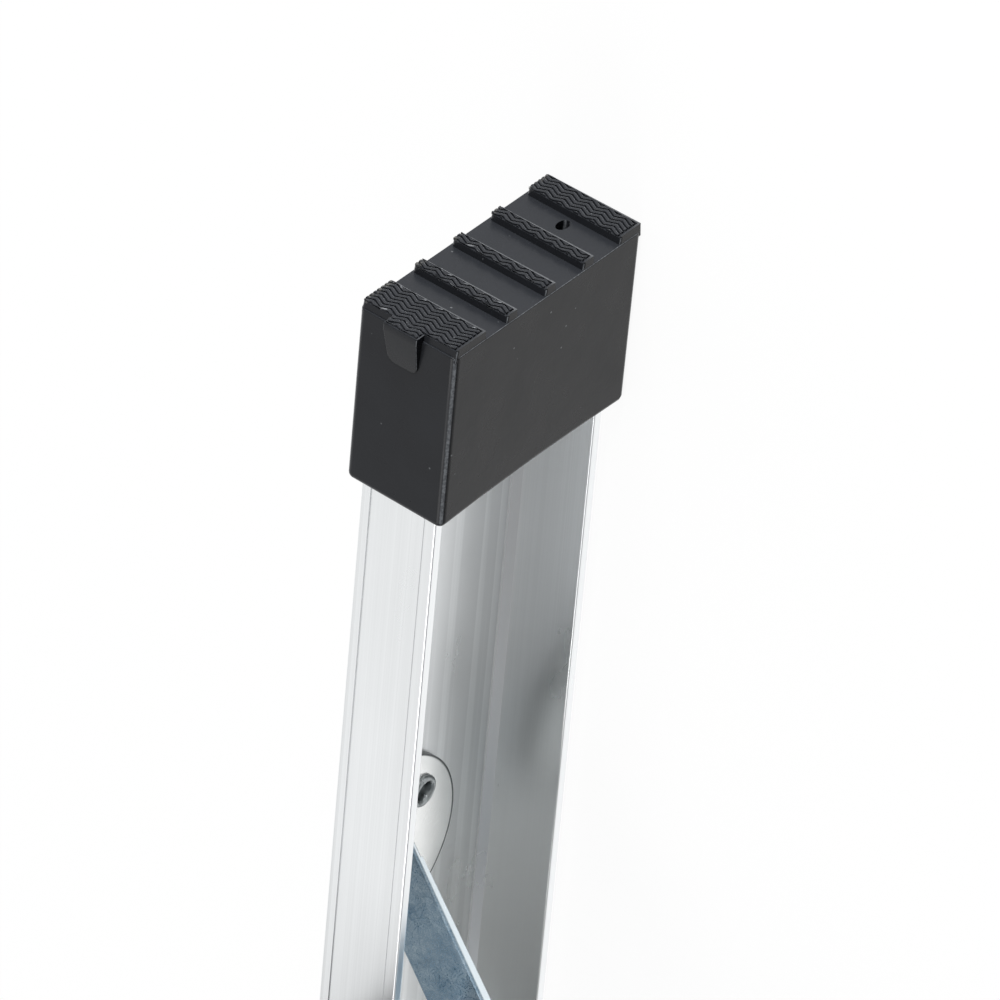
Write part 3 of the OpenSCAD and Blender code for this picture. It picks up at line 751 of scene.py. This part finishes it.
def plated_fittings():
    """Zinc-plated pressed brackets: pale grey, slightly blue and clouded, with the fine
    crystalline spangle of the plating."""
    material, shader = new_material("zinc plated fittings", 0.85, 0.28)
    spangle = cells(material, 1.1)
    cloud = noise(material, 12, 4.0)
    grey = node(material, "SeparateColor", {"Color": spangle.outputs["Color"]})
    tone = maths(material, "MULTIPLY", grey.outputs[0], cloud)
    body = blend(material, tone, "#a3abb0", "#ccd2d4")
    link(material, body, shader, "Base Color")
    rough = ramp(material, cloud, 0.0, 1.0, 0.18, 0.4)
    link(material, rough, shader, "Roughness")
    bump = relief(material, grey.outputs[0], 0.2, 0.02 * MM)
    link(material, bump, shader, "Normal")
    return material


def cast_aluminium():
    """Pressure-cast aluminium, shot blasted: a matt grey with a fine pebbled skin and
    slightly lighter patches where the shot struck longest."""
    material, shader = new_material("cast aluminium", 0.9, 0.52)
    pebble = cells(material, 0.9)
    cloud = noise(material, 9, 5.0)
    body = blend(material, cloud, "#8f9396", "#bfc2c3")
    link(material, body, shader, "Base Color")
    rough = ramp(material, cloud, 0.0, 1.0, 0.45, 0.62)
    link(material, rough, shader, "Roughness")
    bump = relief(material, pebble.outputs["Distance"], 0.5, 0.06 * MM)
    link(material, bump, shader, "Normal")
    return material


def turned_steel():
    """Bright turned steel pins: fine rings left by the tool round the pin and a thin oily
    darkening in patches."""
    material, shader = new_material("turned steel", 1.0, 0.24)
    rings = noise(material, (60, 0.35, 60), 1.0)
    oil = noise(material, 5, 3.0)
    body = blend(material, oil, "#9b9d9e", "#d0d2d3")
    link(material, body, shader, "Base Color")
    rough = ramp(material, rings, 0.0, 1.0, 0.16, 0.36)
    link(material, rough, shader, "Roughness")
    bump = relief(material, rings, 0.25, 0.03 * MM)
    link(material, bump, shader, "Normal")
    return material


def spring_wire():
    """Patented spring wire: dark blue-grey, drawn smooth, with a film of grease that
    clouds its shine."""
    material, shader = new_material("spring wire", 1.0, 0.3)
    film = noise(material, 4, 4.0)
    body = blend(material, film, "#4e5358", "#83898e")
    link(material, body, shader, "Base Color")
    rough = ramp(material, film, 0.0, 1.0, 0.2, 0.45)
    link(material, rough, shader, "Roughness")
    return material


def natural_nylon():
    """Natural nylon bushings: creamy white, faintly mottled, with a waxy sheen."""
    material, shader = new_material("natural nylon", 0.0, 0.42, Subsurface_Weight=0.15,
                                    Subsurface_Scale=0.002)
    mottle = noise(material, 3, 4.0)
    body = blend(material, mottle, "#d8d3c4", "#ece8dc")
    link(material, body, shader, "Base Color")
    bump = relief(material, mottle, 0.12, 0.05 * MM)
    link(material, bump, shader, "Normal")
    return material


def grained_plastic():
    """Black polypropylene end caps: an even spark-eroded grain from the mould under a
    soft satin sheen, a little greyer where hands have rubbed it."""
    material, shader = new_material("grained polypropylene", 0.0, 0.48, Specular_IOR_Level=0.45)
    grain = cells(material, 0.5)
    rub = noise(material, 20, 4.0)
    body = blend(material, rub, "#191a1c", "#2b2d30")
    link(material, body, shader, "Base Color")
    rough = ramp(material, rub, 0.0, 1.0, 0.4, 0.58)
    link(material, rough, shader, "Roughness")
    bump = relief(material, grain.outputs["Distance"], 0.35, 0.04 * MM)
    link(material, bump, shader, "Normal")
    return material


def set_rivets(name, dark, light):
    """Set rivets: bright burnished heads with faint tool marks and darker, unpolished
    metal in between."""
    material, shader = new_material(name, 1.0, 0.3)
    marks = noise(material, 1.2, 3.0)
    body = blend(material, marks, colour(dark), colour(light))
    link(material, body, shader, "Base Color")
    rough = ramp(material, marks, 0.0, 1.0, 0.18, 0.44)
    link(material, rough, shader, "Roughness")
    bump = relief(material, marks, 0.2, 0.05 * MM)
    link(material, bump, shader, "Normal")
    return material


def finish_nodes(boots, rivets):
    """Give every node of the frame, and the remodelled pieces, its material."""
    rubber = moulded_rubber()
    steel = set_rivets("steel rivets", "#54595b", "#b3b8b9")
    tube = mill_aluminium("drawn aluminium tube", "#e0e2e3", 0.34, along=(1.1, 400, 1.1))
    # the first of these words found in a node's name gives its material
    kinds = (("rung", tube),
             ("rail", mill_aluminium("mill finish aluminium", "#e6e8e9", 0.31, roots=True)),
             ("brace_rivets", steel),
             ("rivets", set_rivets("aluminium rivets", "#a9acae", "#d9dbdc")),
             ("guide", mill_aluminium("extruded guide", "#d5d7d8", 0.36)),
             ("brace", plated_zinc()), ("bracket", plated_fittings()), ("hook", cast_aluminium()),
             ("pin", turned_steel()), ("spring", spring_wire()), ("bushing", natural_nylon()),
             ("cap", grained_plastic()), ("boot", rubber))
    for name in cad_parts:
        put(next(material for word, material in kinds if word in name), name)
    for boot in boots:
        put(rubber, boot.name)
    for piece in rivets:
        put(steel, piece.name)


# ---------------------------------------------------------------- stage and light

def add_stage():
    bpy.ops.mesh.primitive_plane_add(size=40)
    floor = bpy.context.object
    floor.name = "floor"
    material = bpy.data.materials.new("white paper")
    material.use_nodes = True
    material.node_tree.nodes.clear()
    paths = node(material, "LightPath")
    seen = node(material, "Math", {0: paths.outputs["Is Camera Ray"],
                                   1: paths.outputs["Is Glossy Ray"]},
                operation="ADD", use_clamp=True)
    share = maths(material, "MULTIPLY", seen, 0.9)
    matt = node(material, "BsdfDiffuse", {"Color": colour("#f4f4f4")})
    level = node(material, "Mix", {"Factor": paths.outputs["Is Glossy Ray"], "A": 1.02, "B": 1.25})
    glow = node(material, "Emission", {"Color": (1, 1, 1, 1), "Strength": level})
    mix = node(material, "MixShader", {0: share, 1: matt, 2: glow})
    node(material, "OutputMaterial", {0: mix})
    floor.data.materials.append(material)

    world = bpy.data.worlds.new("studio")
    bpy.context.scene.world = world
    world.use_nodes = True
    back = world.node_tree.nodes["Background"]
    paths = node(world, "LightPath")
    # in reflections the studio is brighter on the right foot's side than on the other
    toward = node(world, "SeparateXYZ", {0: node(world, "TexCoord").outputs["Generated"]})
    wall = ramp(world, toward.outputs["Y"], -0.46, 0.64, 1.0, 0.48)
    mirrored = node(world, "Mix", {"Factor": paths.outputs["Is Glossy Ray"], "A": 0.5, "B": wall})
    level = node(world, "Mix", {"Factor": paths.outputs["Is Camera Ray"], "A": mirrored, "B": 1.0})
    world.node_tree.links.new(next(s for s in level.outputs if s.enabled), back.inputs["Strength"])
    back.inputs["Color"].default_value = (1, 1, 1, 1)


def add_lamp(name, place, aim, size, power):
    lamp = bpy.data.lights.new(name, "AREA")
    lamp.shape = "DISK"
    lamp.size = size
    lamp.energy = power
    spot = bpy.data.objects.new(name, lamp)
    spot.location = place
    spot.rotation_euler = (Vector(aim) - Vector(place)).to_track_quat("-Z", "Y").to_euler()
    bpy.context.scene.collection.objects.link(spot)


add_camera()
boots = make_boots()
rivets = make_brace_rivets()
finish_nodes(boots, rivets)
add_stage()
RIGHT_FOOT = (-1.2, -0.19, 0)
add_lamp("over the ladder", (0.7, -0.1, 2.3), RIGHT_FOOT, 1.3, 17)
add_lamp("before the feet", (-4.2, -0.1, 0.9), RIGHT_FOOT, 1.6, 104)

bpy.context.scene.view_settings.view_transform = "Standard"
